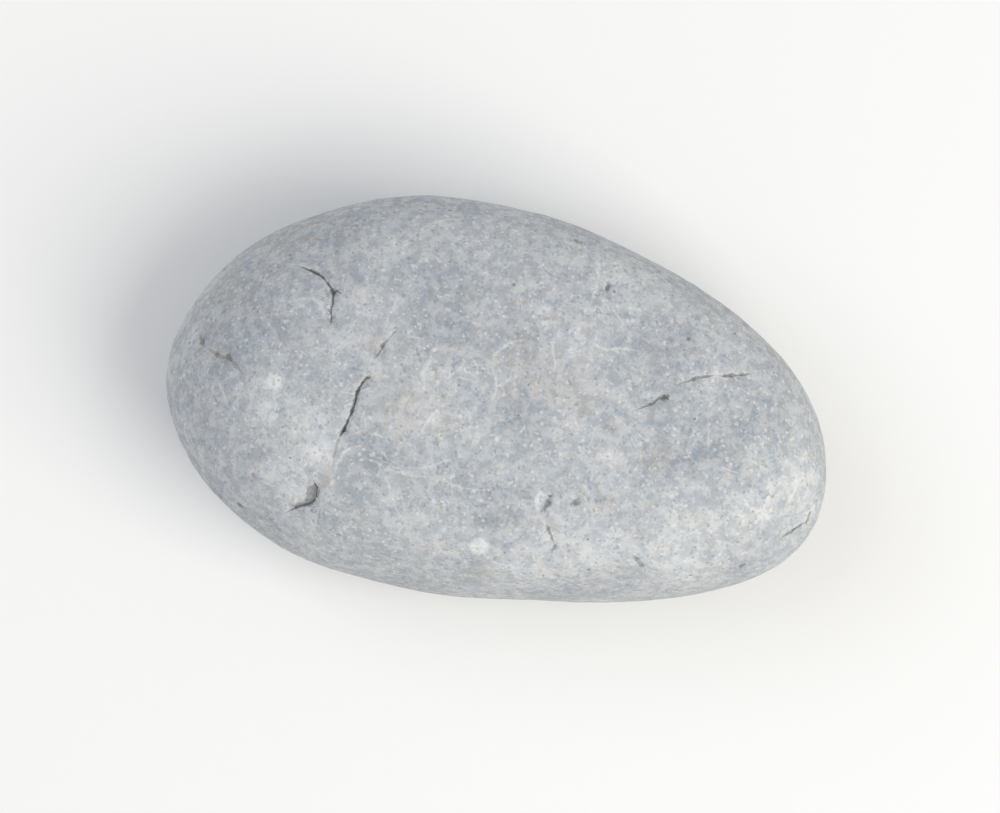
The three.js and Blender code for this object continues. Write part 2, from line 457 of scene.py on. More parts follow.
@dataclass(frozen=True)
class BoxGrid:
    """The surface of a box ruled into squares, with its shared edges joined.

    Attributes:
        counts: how many squares lie along X, Y and Z.
        gutter: how many squares' width is left empty round each side on the flat map.
    """

    counts: tuple[int, int, int]
    gutter: int = 3

    def squares(self) -> tuple[np.ndarray, np.ndarray, np.ndarray]:
        """Rules all six sides and joins the points that they share.

        Returns:
            The grid's points from -1 to 1 on each axis, its squares' corners counted anticlockwise
            from outside, and each corner's place on a flat map, two sides wide and three high.
        """
        sides = [self._side(axis, end) for axis in range(3) for end in (0, 1)]
        lattice = np.vstack([places for places, _ in sides])
        flat = np.vstack([flat for _, flat in sides])
        span = np.array(self.counts) + 1
        key = (lattice[:, 0] * span[1] + lattice[:, 1]) * span[2] + lattice[:, 2]
        _, first, joined = np.unique(key, return_index=True, return_inverse=True)
        points = lattice[first] / np.array(self.counts) * 2 - 1
        return points, joined.reshape(-1, 4), flat

    def _side(self, axis: int, end: int) -> tuple[np.ndarray, np.ndarray]:
        """Rules one side.

        Args:
            axis: the axis that the side stands square to.
            end: 0 for the side at the axis's low end, 1 for the other.

        Returns:
            The side's squares as four lattice corners each, and those corners on the flat map.
        """
        wide, high = ((1, 2), (0, 2), (0, 1))[axis]
        from_behind = (end == 1) == (axis == 1)
        i, j = np.meshgrid(np.arange(self.counts[wide]), np.arange(self.counts[high]), indexing="ij")
        turn = ((0, 0), (0, 1), (1, 1), (1, 0)) if from_behind else ((0, 0), (1, 0), (1, 1), (0, 1))
        corner = np.stack([np.stack([i + di, j + dj], -1) for di, dj in turn], 2).reshape(-1, 2)
        places = np.zeros((len(corner), 3), dtype=np.int64)
        places[:, wide] = corner[:, 0]
        places[:, high] = corner[:, 1]
        places[:, axis] = end * self.counts[axis]
        if from_behind:
            corner[:, 0] = self.counts[wide] - corner[:, 0]
        cell = np.array([self.counts[0], self.counts[2]]) + 2 * self.gutter
        flat = (corner + self.gutter + cell * np.array([end, axis])) / (2 * cell[0])
        return places, flat


@dataclass(frozen=True)
class Surface:
    """The stone's surface as its points and their unit normals, in mm."""

    points: np.ndarray
    normals: np.ndarray

    def pin(self, at: Point, side: Side) -> np.ndarray:
        """The place on the surface that a mark's own place stands for.

        Args:
            at: the mark's place.
            side: the side it is on, which says how its place is given.

        Returns:
            The place in mm. On the crown and the base it is where the nearest point's tangent
            plane lies straight above or below, and on the flank it is the nearest point itself.
        """
        if side is Side.FLANK:
            out = heading(at[0], 0)[:2]
            beside = self.points[:, 0] * out[1] - self.points[:, 1] * out[0]
            away = beside**2 + (self.points[:, 2] - at[1]) ** 2
            away[self.points[:, :2] @ out < 0] = np.inf
            return self.points[away.argmin()]
        facing = self.normals[:, 2] if side is Side.CROWN else -self.normals[:, 2]
        away = ((self.points[:, :2] - np.array(at)) ** 2).sum(1)
        away[facing <= 0] = np.inf
        nearest = away.argmin()
        point, normal = self.points[nearest], self.normals[nearest]
        fall = (np.array(at) - point[:2]) @ normal[:2] / normal[2]
        return np.array([at[0], at[1], point[2] - fall])

    def lay(self, line: Line, spacing: float) -> Trail:
        """Lays a line on the surface: a curve through its pinned places, each step of which moves
        along the nearest point's normal on to that point's tangent plane.

        Args:
            line: the line.
            spacing: how far apart the places on the trail are, in mm.

        Returns:
            The line's trail.
        """
        path = through(np.array([self.pin(at, line.side) for at in line.path]), spacing)
        away = (self.points**2).sum(1) - 2 * path @ self.points.T
        nearest = away.argmin(1)
        normals = self.normals[nearest]
        height = ((path - self.points[nearest]) * normals).sum(1, keepdims=True)
        track = path - height * normals
        ahead = np.gradient(track, axis=0)
        left = np.cross(normals, ahead)
        return Trail(
            track,
            ahead / np.linalg.norm(ahead, axis=1, keepdims=True),
            left / np.linalg.norm(left, axis=1, keepdims=True),
            spacing,
        )


@dataclass(frozen=True)
class Trail:
    """A line's course over the surface: places about spacing apart in mm, and the directions that
    point ahead along it and to its left at each. Each end tapers over an equal share of it."""

    track: np.ndarray
    ahead: np.ndarray
    left: np.ndarray
    spacing: float
    tapered: float = 0.22

    def beside(
        self, points: np.ndarray, reach: float
    ) -> tuple[np.ndarray, np.ndarray, np.ndarray, np.ndarray]:
        """Finds the points near the trail.

        Args:
            points: places in mm.
            reach: how far from the trail to look.

        Returns:
            The numbers of the points within reach, the trail step nearest to each, the distance
            to the left of it, and the distance from the trail with its ends rounded.
        """
        middle = self.track.mean(0)
        spread = np.linalg.norm(self.track - middle, axis=1).max() + reach
        near = np.flatnonzero(np.linalg.norm(points - middle, axis=1) < spread)
        squared = (self.track**2).sum(1) - 2 * points[near] @ self.track.T
        step = squared.argmin(1)
        offset = points[near] - self.track[step]
        across = (offset * self.left[step]).sum(1)
        beyond = np.maximum(np.abs((offset * self.ahead[step]).sum(1)) - self.spacing, 0)
        away = np.hypot(across, beyond)
        within = away < reach
        return near[within], step[within], across[within], away[within]

    def taper(self, step: np.ndarray) -> np.ndarray:
        """1 along the trail's middle, falling to 0 at its ends as a smooth step."""
        along = step / (len(self.track) - 1)
        return smooth_step(np.minimum(along, 1 - along), 0, self.tapered)


# ---------- The stone ----------


@dataclass
class Pebble:
    """The stone: its worn outline, the relief on it and the marks that its material reads.

    Attributes:
        low: the lowest corner of the stone's box, in mm.
        high: the highest corner.
        squares: how many squares the grid has along the stone, across it and up it.
        core: half lengths of the egg-shaped core that the worn faces cut into.
        face_blend: the power that blends core and faces; a higher one leaves crisper edges.
        rest_wear: how deep the stone has worn flat where it rests.
        rest_edge: how far the flat's edge is rounded.
        swell: height of the low swells, and swell_length their wavelength.
        ripple: height of the small unevenness, and ripple_length its wavelength.
        settling: the height above the flat at which all of that is whole; it fades to the flat.
        knocks: how many shallow dents the river has left.
        knock_radii: the smallest and the largest dent's radius.
        knock_lifts: how much paler a dent can be, from the darkest to the palest.
        knock_slope: a dent's depth over its radius.
        pit_raggedness: how uneven a pit's outline is, from 0 for a smooth one.
        pit_wave: the wavelength of that over the pit's smaller half size.
        pit_darkening: the shares of a pit's depth at which its dirt and painted shade begin
            and are whole.
        full_pit: the depth from which a pit is as dark with dirt and painted shade as it can be.
        groove: the width of a line's groove over its half gap.
        dip: the width of the dip round the groove over the half gap, and its share of the depth.
        groove_darkening: the depths at which a groove begins to darken with dirt and painted
        shade, and is wholly dark.
        fading: how far from a line its colour begins to fade and is gone.
        line_reach: how far from a line its groove and scoop can reach.
        line_step: how far apart the places on a line are.
        gather: how strongly the grid is drawn together at a mark, from 0 to 1.
        gather_reach: how far from a mark that is felt.
    """

    low: np.ndarray
    high: np.ndarray
    squares: tuple[int, int, int] = (168, 128, 92)
    core: tuple[float, float, float] = (54.5, 25, 19)
    face_blend: float = 5
    rest_wear: float = 0.35
    rest_edge: float = 0.2
    swell: float = 0.1
    swell_length: float = 16
    ripple: float = 0.012
    ripple_length: float = 2.4
    settling: float = 1.5
    knocks: int = 240
    knock_radii: tuple[float, float] = (0.5, 2.0)
    knock_lifts: tuple[float, float] = (-0.2, 0.35)
    knock_slope: float = 0.022
    pit_raggedness: float = 0.28
    pit_wave: float = 2.2
    pit_darkening: tuple[float, float] = (0.15, 0.8)
    full_pit: float = 0.35
    groove: float = 1.25
    dip: tuple[float, float] = (4, 0.12)
    groove_darkening: tuple[float, float] = (0.05, 0.4)
    fading: tuple[float, float] = (0.45, 0.75)
    line_reach: float = 2.5
    line_step: float = 0.08
    gather: float = 0.62
    gather_reach: float = 0.9

    def build(self, finish: Greywacke) -> bpy.types.Object:
        """Makes the stone's mesh and dresses it.

        Args:
            finish: the stone's material.

        Returns:
            The finished object, riding on the frame in place of the plain solid.
        """
        ruled, quads, flat = BoxGrid(self.squares).squares()
        points = self._worn_body(ruled)
        points = self._gathered(Surface(points, vertex_normals(points, quads)))
        surface = Surface(points, vertex_normals(points, quads))
        marks = self._marks(surface)
        relief = self._relief(points) - marks["hollow"]
        settled = smooth_step(points[:, 2] - self.low[2], 0, self.settling)
        points = points + surface.normals * (relief * settled)[:, None]
        return self._object(points, quads, flat, marks, finish)

    def _worn_body(self, ruled: np.ndarray) -> np.ndarray:
        """The worn outline. A box point becomes a direction, by the tangent of an even angle. The
        distance out in that direction is a power mean: 1 over the root of the sum of the powers
        of 1 over the core's distance and 1 over each face's. The result is stretched to the box,
        and what would lie under it is worn off flat.

        Args:
            ruled: the grid's points from -1 to 1 on each axis.

        Returns:
            The same points on the stone, in mm.
        """
        half = (self.high - self.low) / 2
        even = np.tan(ruled * np.pi / 4)
        direction = even / np.linalg.norm(even, axis=1, keepdims=True) * half
        direction /= np.linalg.norm(direction, axis=1, keepdims=True)
        total = np.linalg.norm(direction / np.array(self.core), axis=1) ** self.face_blend
        for face in WORN_FACES:
            total += np.maximum(0, direction @ face.normal() / face.reach) ** self.face_blend
        body = direction * (total ** (-1 / self.face_blend))[:, None]
        bottom = self.low - np.array([0, 0, self.rest_wear])
        share = (body - body.min(0)) / (body.max(0) - body.min(0))
        body = bottom + share * (self.high - bottom)
        above = body[:, 2] - self.low[2]
        body[:, 2] = self.low[2] + (above + np.sqrt(above**2 + self.rest_edge**2)) / 2
        return body

    def _gathered(self, surface: Surface) -> np.ndarray:
        """Draws the surface's points together at the cracks and pits, so that more of them shape
        each one: a point a away goes to a times one less a bell curve of a.

        Args:
            surface: the worn outline's surface.

        Returns:
            The points where they then are, in mm.
        """
        points = surface.points.copy()
        for line in LINES:
            if line.kind is LineKind.CRACK:
                trail = surface.lay(line, self.line_step)
                near, step, across, away = trail.beside(points, 3 * self.gather_reach)
                pull = self.gather * trail.taper(step) * np.exp(-((away / self.gather_reach) ** 2))
                points[near] -= trail.left[step] * (across * pull)[:, None]
        for pit in PITS:
            offset = points - surface.pin(pit.at, pit.side)
            share = (offset**2).sum(1) / (2 * max(pit.half)) ** 2
            points -= offset * (self.gather * np.exp(-share))[:, None]
        return points

    def _relief(self, points: np.ndarray) -> np.ndarray:
        """How far swells, ripples and ripples half as long raise each point of the outline."""
        return (
            self.swell * waves(points, self.swell_length, seed=3)
            + self.ripple * waves(points, self.ripple_length, seed=5, count=64)
            + self.ripple / 2 * waves(points, self.ripple_length / 2, seed=7, count=64)
        )

    def _marks(self, surface: Surface) -> Marks:
        """What the marks do at each point of the surface.

        Args:
            surface: the stone's surface.

        Returns:
            By name: hollow, the depth of lost stone in mm; dirt_and_shade, how dark it is with dirt
            and painted shade; line_across, the signed distance from the nearest line in mm;
            line_open, half that line's gap there; line_tone, its tone; tone, how much paler the
            stone is; and warmth, how much browner.
        """
        names = ("hollow", "dirt_and_shade", "line_across", "line_open", "line_tone", "tone", "warmth")
        marks = {name: np.zeros(len(surface.points)) for name in names}
        marks["line_across"] += self.line_reach
        for number, line in enumerate(LINES):
            self._mark_line(line, number, surface, marks)
        for pit in PITS:
            share = self._pit_share(pit, surface)
            marks["hollow"] += pit.depth * share
            # a pit darkens with its depth: dirt and painted shade
            dirt_and_shade = smooth_step(share, *self.pit_darkening) * min(1, pit.depth / self.full_pit)
            marks["dirt_and_shade"] = np.maximum(marks["dirt_and_shade"], dirt_and_shade)
        for cloud in CLOUDS:
            away = np.linalg.norm(surface.points - surface.pin(cloud.at, cloud.side), axis=1)
            share = np.exp(-((away / cloud.radius) ** cloud.power))
            marks["tone"] += cloud.lift * share
            marks["warmth"] += cloud.warmth * share
        self._knock(surface.points, marks)
        return marks

    def _mark_line(self, line: Line, number: int, surface: Surface, marks: Marks) -> None:
        """Adds one line to the marks. Its width and depth vary along it, from about half to a
        little over what it says, with the product of two sine waves. Its depth falls off from the
        middle as a bell curve on a wider and much shallower one, and on the scooped side as the
        square of what is left of the scoop's width.

        Args:
            line: the line.
            number: its place among the lines, which shifts its waves.
            surface: the stone's surface.
            marks: the marks to add it to.
        """
        trail = surface.lay(line, self.line_step)
        near, step, across, away = trail.beside(surface.points, self.line_reach)
        taper = trail.taper(step)
        length = step * self.line_step
        ragged = 0.8 + 0.35 * np.sin(3.1 * length + number) * np.sin(1.7 * length + 2 * number)
        groove = np.exp(-((away / (self.groove * line.half_gap)) ** 2))
        width, share = self.dip
        dip = share * np.exp(-((away / (width * line.half_gap)) ** 2))
        loss = line.depth * taper * ragged * (groove + dip)
        if line.scoop:
            left_over = np.clip(1 + across / line.scoop, 0, 1) * (across < 0)
            loss = np.maximum(loss, line.depth * taper * left_over**2 * (away < line.scoop))
        marks["hollow"][near] = np.maximum(marks["hollow"][near], loss)
        # the groove darkens with its depth: dirt and painted shade
        marks["dirt_and_shade"][near] = np.maximum(marks["dirt_and_shade"][near], smooth_step(loss, *self.groove_darkening))

        closer = away < np.abs(marks["line_across"][near])
        fade = 1 - smooth_step(away, *self.fading)
        chosen = near[closer]
        marks["line_across"][chosen] = np.where(across < 0, -away, away)[closer]
        marks["line_open"][chosen] = (line.half_gap * taper * ragged * fade)[closer]
        marks["line_tone"][chosen] = line.kind.value

    def _pit_share(self, pit: Pit, surface: Surface) -> np.ndarray:
        """A pit's shape: a bell curve in its two half sizes, both of which swell and shrink with
        fine waves that run through the stone.

        Args:
            pit: the pit.
            surface: the stone's surface.

        Returns:
            At each point, the pit's depth over its greatest.
        """
        turn = math.radians(pit.turn)
        offset = surface.points - surface.pin(pit.at, pit.side)
        share = np.zeros(len(offset))
        near = np.flatnonzero((offset**2).sum(1) < (3 * max(pit.half)) ** 2)
        offset = offset[near]
        ripples = waves(surface.points[near], min(pit.half) * self.pit_wave, seed=13)
        uneven = 1 + self.pit_raggedness * ripples
        along = offset @ np.array([math.cos(turn), math.sin(turn), 0])
        across = np.sqrt(np.maximum(0, (offset**2).sum(1) - along**2))
        reach = (along / pit.half[0]) ** 2 + (across / pit.half[1]) ** 2
        share[near] = np.exp(-reach / np.maximum(uneven, 0.3) ** 2)
        return share

    def _knock(self, points: np.ndarray, marks: Marks) -> None:
        """Adds the shallow dents that other stones have left, each a bell curve round a point
        picked by chance, and a little paler or darker than the stone.

        Args:
            points: the surface's points.
            marks: the marks to add them to.
        """
        random = np.random.default_rng(11)
        middles = points[random.choice(len(points), self.knocks, replace=False)]
        radii = random.uniform(*self.knock_radii, self.knocks)
        lifts = random.uniform(*self.knock_lifts, self.knocks)
        for middle, radius, lift in zip(middles, radii, lifts):
            share = np.exp(-((points - middle) ** 2).sum(1) / radius**2)
            marks["hollow"] += self.knock_slope * radius * share
            marks["tone"] += lift * share

    def _object(
        self,
        points: np.ndarray,
        quads: np.ndarray,
        flat: np.ndarray,
        marks: Marks,
        finish: Greywacke,
    ) -> bpy.types.Object:
        """Puts the stone into Blender.

        Args:
            points: its points in mm.
            quads: the numbers of each face's corners.
            flat: each corner's place on the flat map.
            marks: what the marks do at each point, which the material reads by name.
            finish: its material.

        Returns:
            The object, riding on the frame.
        """
        mesh = bpy.data.meshes.new("river_stone")
        mesh.from_pydata(points * MM, [], quads)
        mesh.shade_smooth()
        for name, values in marks.items():
            layer = mesh.attributes.new(name, "FLOAT", "POINT")
            layer.data.foreach_set("value", values.astype(np.float32))
        layer = mesh.uv_layers.new(name="OFBake")
        layer.data.foreach_set("uv", flat.astype(np.float32).ravel())
        mesh.materials.append(finish.material())
        stone = bpy.data.objects.new("river_stone", mesh)
        bpy.context.scene.collection.objects.link(stone)
        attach(stone, "root")
        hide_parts("pebble")
        return stone


# ---------- Finishes ----------


def linear(colour: str) -> tuple[float, float, float, float]:
    """Turns a colour to linear light: the sRGB curve, straight near black and a power above.

    Args:
        colour: an sRGB colour such as "#b8bcc0".

    Returns:
        Its linear red, green and blue, and full alpha.
    """
    parts = np.array([int(colour[i : i + 2], 16) for i in (1, 3, 5)]) / 255
    light = np.where(parts <= 0.04045, parts / 12.92, ((parts + 0.055) / 1.055) ** 2.4)
    return (float(light[0]), float(light[1]), float(light[2]), 1.0)


def add_node(tree: Tree, kind: str, inputs: dict | None = None, **settings: object) -> bpy.types.Node:
    """Adds one node to a material.

    Args:
        tree: the material's nodes.
        kind: the node's type, without its "ShaderNode".
        inputs: a value or another node's output for each input, by name or number.
        settings: the node's own properties.

    Returns:
        The new node.
    """
    made = tree.nodes.new("ShaderNode" + kind)
    for name, value in settings.items():
        setattr(made, name, value)
    for name, value in (inputs or {}).items():
        if isinstance(value, Socket):
            tree.links.new(value, made.inputs[name])
        else:
            made.inputs[name].default_value = value
    return made


@dataclass(frozen=True)
class Greywacke:
    """Greywacke, a hard grey sandstone, tumbled smooth by a river and dry: matte, with the grains
    showing as a fine pale and blue-grey speckle, and dark only in its cracks and pits.

    Attributes:
        cool: the darkest and palest blue-grey of the mass of grains.
        warm: the darkest and palest grey of the patches where the grains are cleaner.
        quartz: colour of single clear grains.
        slate: colour of single dark grains.
        rust: colour of single iron-stained grains and of the brown patches.
        crevice: colour of the dirt and painted shade in cracks, pits and the holes of lost grains.
        bruise: colour of crushed grains along a scratch.
        paleness: the stone's mean tone, from 0 at the darkest colours to 1 at the palest.
        grain_size: width of the smaller grains in mm; the smallest real ones are half that, which
            is too fine to show, so they are drawn this wide.
        mottle_size: width of a cluster of grains.
        cluster_edge: the values of its pattern between which a cluster's edge lies.
        thread_spacing: how far apart the pale threads of cement between clusters are.
        thread_edge: the heights of its ridged pattern at which a thread begins and is whole.
        patch_size: width of a patch of clusters.
        cloud_size: width of a paler or darker zone.
        wisp_spacing: how far apart the longer of the fine pale scratches are.
        short_wisps: how many times as close, and as short, the shorter ones are.
        wisp_edge: how far from such a scratch's middle it ends and is whole, in mm.
        speck_spacing: how far apart the places are where single grains may have dropped out.
        grain_height: how far a grain stands proud in mm; drawn as coarse as the grains are.
        wander: how far a line's middle strays in all, in mm.
        breaks: a line's least and greatest width over its own.
        most: the range that nearly all of a cloudy pattern's values lie in.
        roughness: that of the tallest, most rubbed clusters and that of the lowest.
        ior: that of quartz and feldspar, the most of what the grains are.
    """

    cool: tuple[str, str] = ("#6c7a8a", "#dbdfe2")
    warm: tuple[str, str] = ("#777d85", "#e2e1de")
    quartz: str = "#e2e2e0"
    slate: str = "#757f88"
    rust: str = "#a28f75"
    crevice: str = "#5a564f"
    bruise: str = "#e0e1e0"
    paleness: float = 0.565
    grain_size: float = 0.3
    mottle_size: float = 1.2
    cluster_edge: tuple[float, float] = (0.38, 0.62)
    thread_spacing: float = 3.0
    thread_edge: tuple[float, float] = (0.9, 1.7)
    patch_size: float = 4.0
    cloud_size: float = 13.0
    wisp_spacing: float = 6.0
    short_wisps: float = 2.3
    wisp_edge: tuple[float, float] = (0.13, 0.03)
    speck_spacing: float = 1.7
    grain_height: float = 0.02
    wander: float = 0.6
    breaks: tuple[float, float] = (0.3, 1.5)
    most: tuple[float, float] = (0.35, 0.65)
    roughness: tuple[float, float] = (0.74, 0.9)
    ior: float = 1.5

    def material(self) -> bpy.types.Material:
        """Makes the material, which gives the eye a dry, matte, speckled and faintly veined stone.
        Its patterns are set in mm on the stone itself.

        Returns:
            The material.
        """
        made = bpy.data.materials.new("greywacke, river tumbled")
        made.use_nodes = True
        tree = made.node_tree
        tree.nodes.clear()
        patterns = self._patterns(tree)
        specks = self._specks(tree, patterns)
        marks = self._line_marks(tree, patterns)
        colour = self._marked_colour(tree, patterns, specks, marks)
        height = self._height(tree, patterns, specks, marks)
        bump = add_node(tree, "Bump", {"Height": height, "Distance": MM, "Strength": 1.0})
        rubbed, rough = self.roughness
        roughness = add_node(
            tree, "MapRange", {0: patterns["mottle"], 1: 0.3, 2: 0.7, 3: rough, 4: rubbed}
        )
        shader = add_node(
            tree,
            "BsdfPrincipled",
            {
                "Base Color": colour,
                "Roughness": roughness.outputs[0],
                "IOR": self.ior,
                "Normal": bump.outputs["Normal"],
            },
        )
        add_node(tree, "OutputMaterial", {"Surface": shader.outputs["BSDF"]})
        return made

    def _patterns(self, tree: Tree) -> Patterns:
        """Makes the patterns that the others are made from. For each cloudy one, a table gives the
        width of its largest parts in mm, how often it is halved into finer ones and how strong
        those are.

        Args:
            tree: the material's nodes.

        Returns:
            By name: mm, the place on the stone in mm; ragged, the same place shaken by up to a
            grain; and the cloudy patterns, from 0 to 1.
        """
        place = add_node(tree, "TexCoord").outputs["Object"]
        mm = add_node(tree, "VectorMath", {0: place, "Scale": 1 / MM}, operation="SCALE").outputs[0]
        shaken = add_node(tree, "TexNoise", {"Vector": mm, "Scale": 1.6 / self.grain_size})
        ragged = add_node(
            tree,
            "VectorMath",
            {0: shaken.outputs["Color"], 1: (self.grain_size,) * 3, 2: mm},
            operation="MULTIPLY_ADD",
        ).outputs[0]
        patterns = {"mm": mm, "ragged": ragged}
        for name, size, halvings, strength in (
            ("grain", self.grain_size, 2.0, 0.6),
            ("mottle", self.mottle_size, 3.0, 0.6),
            ("patch", self.patch_size, 2.0, 0.6),
            ("cloud", self.cloud_size, 1.0, 0.6),
            ("hue", self.patch_size / 2, 5.0, 0.75),
            ("stain", 1.0, 4.0, 0.65),
            ("grit", 0.5, 4.0, 0.65),
            ("wander", 0.5, 4.0, 0.7),
            ("breaks", 0.7, 4.0, 0.7),
        ):
            patterns[name] = add_node(
                tree,
                "TexNoise",
                {"Vector": mm, "Scale": 1 / size, "Detail": halvings, "Roughness": strength},
            ).outputs["Fac"]
        return patterns

    def _tone(self, tree: Tree, patterns: Patterns, grain_tone: Socket) -> Socket:
        """The stone's tone: the sum of grains, clusters with crisp edges, pale threads of clean
        cement, patches, zones and the marks' own tone, each by its share.

        Args:
            tree: the material's nodes.
            patterns: the patterns.
            grain_tone: a chance value for each single grain.

        Returns:
            0 where the stone is darkest and 1 where it is palest.
        """
        cluster, thread = self.cluster_edge, self.thread_edge
        clusters = add_node(
            tree,
            "MapRange",
            {0: patterns["mottle"], 1: cluster[0], 2: cluster[1]},
            interpolation_type="SMOOTHSTEP",
        ).outputs[0]
        ridges = add_node(
            tree,
            "TexNoise",
            {"Vector": patterns["mm"], "Scale": 1 / self.thread_spacing, "Detail": 3.0, "Roughness": 0.5},
            noise_type="RIDGED_MULTIFRACTAL",
            normalize=False,
        ).outputs["Fac"]
        threads = add_node(
            tree,
            "MapRange",
            {0: ridges, 1: thread[0], 2: thread[1]},
            interpolation_type="SMOOTHSTEP",
        ).outputs[0]
        zone = add_node(tree, "Attribute", attribute_name="tone").outputs["Fac"]
        shares = (
            (patterns["grain"], 0.24),
            (grain_tone, 0.08),
            (clusters, 0.19),
            (threads, 0.1),
            (patterns["patch"], 0.27),
            (patterns["cloud"], 0.36),
        )
        tone = self.paleness - sum(share for _, share in shares) / 2
        for pattern, share in (*shares, (zone, 0.3)):
            tone = add_node(
                tree, "Math", {0: pattern, 1: share, 2: tone}, operation="MULTIPLY_ADD"
            ).outputs[0]
        return tone

    def _stone_colour(self, tree: Tree, patterns: Patterns) -> Socket:
        """The stone's own colour: its tone runs from dark to pale in a cool and in a warm grey, a
        pattern picks between the two, and single grains of quartz, slate and rust lie in it.

        Args:
            tree: the material's nodes.
            patterns: the patterns.

        Returns:
            The colour.
        """
        cells = add_node(tree, "TexVoronoi", {"Vector": patterns["ragged"], "Scale": 1 / self.grain_size})
        picked = add_node(tree, "SeparateColor", {0: cells.outputs["Color"]}).outputs
        tone = self._tone(tree, patterns, picked[0])
        cool, warm = (
            add_node(
                tree, "Mix", {0: tone, 6: linear(dark), 7: linear(pale)}, data_type="RGBA"
            ).outputs[2]
            for dark, pale in (self.cool, self.warm)
        )
        low, high = self.most
        hue = add_node(tree, "MapRange", {0: patterns["hue"], 1: low, 2: high}).outputs[0]
        colour = add_node(tree, "Mix", {0: hue, 6: cool, 7: warm}, data_type="RGBA").outputs[2]
        # which of a grain's chances, the value it must pass, how strongly the colour shows
        for channel, rarity, strength, name in (
            (0, 0.94, 0.4, self.quartz),
            (1, 0.93, 0.35, self.slate),
            (2, 0.97, 0.4, self.rust),
        ):
            chosen = add_node(
                tree,
                "MapRange",
                {0: picked[channel], 1: rarity, 2: rarity + 0.02, 3: 0.0, 4: strength},
            ).outputs[0]
            colour = add_node(
                tree, "Mix", {0: chosen, 6: colour, 7: linear(name)}, data_type="RGBA"
            ).outputs[2]
        return colour

    def _specks(self, tree: Tree, patterns: Patterns) -> Socket:
        """Where single grains have dropped out: an uneven dot in the middle of about a third of
        the cells of a loose pattern, each of its own size.

        Args:
            tree: the material's nodes.
            patterns: the patterns.

        Returns:
            1 in a dot and 0 round it.
        """
        cells = add_node(
            tree, "TexVoronoi", {"Vector": patterns["ragged"], "Scale": 1 / self.speck_spacing}
        )
        # a dot's radius, as a share of the spacing, grows with its cell's chance above 0.6
        picked = add_node(tree, "SeparateColor", {0: cells.outputs["Color"]}).outputs[1]
        radius = add_node(tree, "MapRange", {0: picked, 1: 0.6, 2: 1.0, 3: -0.02, 4: 0.15})
        inside = add_node(
            tree, "Math", {0: radius.outputs[0], 1: cells.outputs["Distance"]}, operation="SUBTRACT"
        ).outputs[0]
        return add_node(
            tree, "MapRange", {0: inside, 1: 0.0, 2: 0.05}, interpolation_type="SMOOTHSTEP"
        ).outputs[0]

    def _line_marks(self, tree: Tree, patterns: Patterns) -> Patterns:
        """The parts of the lines. A line's middle wanders from grain to grain, and its width
        varies with a fine pattern.

        Args:
            tree: the material's nodes.
            patterns: the patterns.

        Returns:
            How much of each part there is, from 0 to 1, by name: scratch; rim, the crushed pale
            stone along a crack; and crevice, the open crack itself.
        """
        across, gap, kind = (
            add_node(tree, "Attribute", attribute_name=name).outputs["Fac"]
            for name in ("line_across", "line_open", "line_tone")
        )
        wander = add_node(
            tree,
            "Math",
            {0: patterns["wander"], 1: self.wander, 2: -self.wander / 2},
            operation="MULTIPLY_ADD",
        ).outputs[0]
        across = add_node(tree, "Math", {0: across, 1: wander}, operation="ADD").outputs[0]
        away = add_node(tree, "Math", {0: across}, operation="ABSOLUTE").outputs[0]
        (low, high), (least, greatest) = self.most, self.breaks
        breaks = add_node(
            tree, "MapRange", {0: patterns["breaks"], 1: low, 2: high, 3: least, 4: greatest}
        ).outputs[0]
        gap = add_node(tree, "Math", {0: gap, 1: breaks}, operation="MULTIPLY").outputs[0]
        covered = add_node(tree, "Math", {0: gap, 1: away}, operation="SUBTRACT").outputs[0]
        marks = {}
        # which tone of line has the part whole, and how far inside the gap it begins and is whole
        for name, full, outer, inner in (
            ("scratch", 1.0, -0.11, 0.22),
            ("rim", -1.0, -0.4, 0.0),
            ("crevice", -1.0, -0.06, 0.08),
        ):
            line = add_node(
                tree, "MapRange", {0: covered, 1: outer, 2: inner}, interpolation_type="SMOOTHSTEP"
            ).outputs[0]
            share = add_node(tree, "MapRange", {0: kind, 1: 0.0, 2: full}).outputs[0]
            marks[name] = add_node(tree, "Math", {0: line, 1: share}, operation="MULTIPLY").outputs[0]
        return marks

    def _wisps(self, tree: Tree, mm: Socket, spacing: float) -> Socket:
        """Fine pale scratches where other stones have slid past. Most cells of a loose pattern
        hold one: the thin slab through the cell's middle that faces a way of its own, cut off at
        a distance of its own. The stone's surface shows the slab as a line.

        Args:
            tree: the material's nodes.
            mm: the place on the stone in mm.
            spacing: how far apart the scratches are, in mm.

        Returns:
            1 in a scratch and 0 beside it.
        """
        bend = add_node(tree, "TexNoise", {"Vector": mm, "Scale": 1 / spacing, "Detail": 1.0})
        bent = add_node(
            tree,
            "VectorMath",
            {0: bend.outputs["Color"], 1: (0.5 * spacing,) * 3, 2: mm},
            operation="MULTIPLY_ADD",
        ).outputs[0]
        cells = add_node(tree, "TexVoronoi", {"Vector": bent, "Scale": 1 / spacing}).outputs
        offset = add_node(
            tree, "VectorMath", {0: bent, 1: cells["Position"]}, operation="SUBTRACT"
        ).outputs[0]
        facing = add_node(
            tree, "VectorMath", {0: cells["Color"], 1: (0.5,) * 3}, operation="SUBTRACT"
        ).outputs[0]
        facing = add_node(tree, "VectorMath", {0: facing}, operation="NORMALIZE").outputs[0]
        off_slab = add_node(
            tree, "VectorMath", {0: offset, 1: facing}, operation="DOT_PRODUCT"
        ).outputs["Value"]
        off_slab = add_node(tree, "Math", {0: off_slab}, operation="ABSOLUTE").outputs[0]
        outer, inner = self.wisp_edge
        line = add_node(tree, "MapRange", {0: off_slab, 1: outer, 2: inner}).outputs[0]
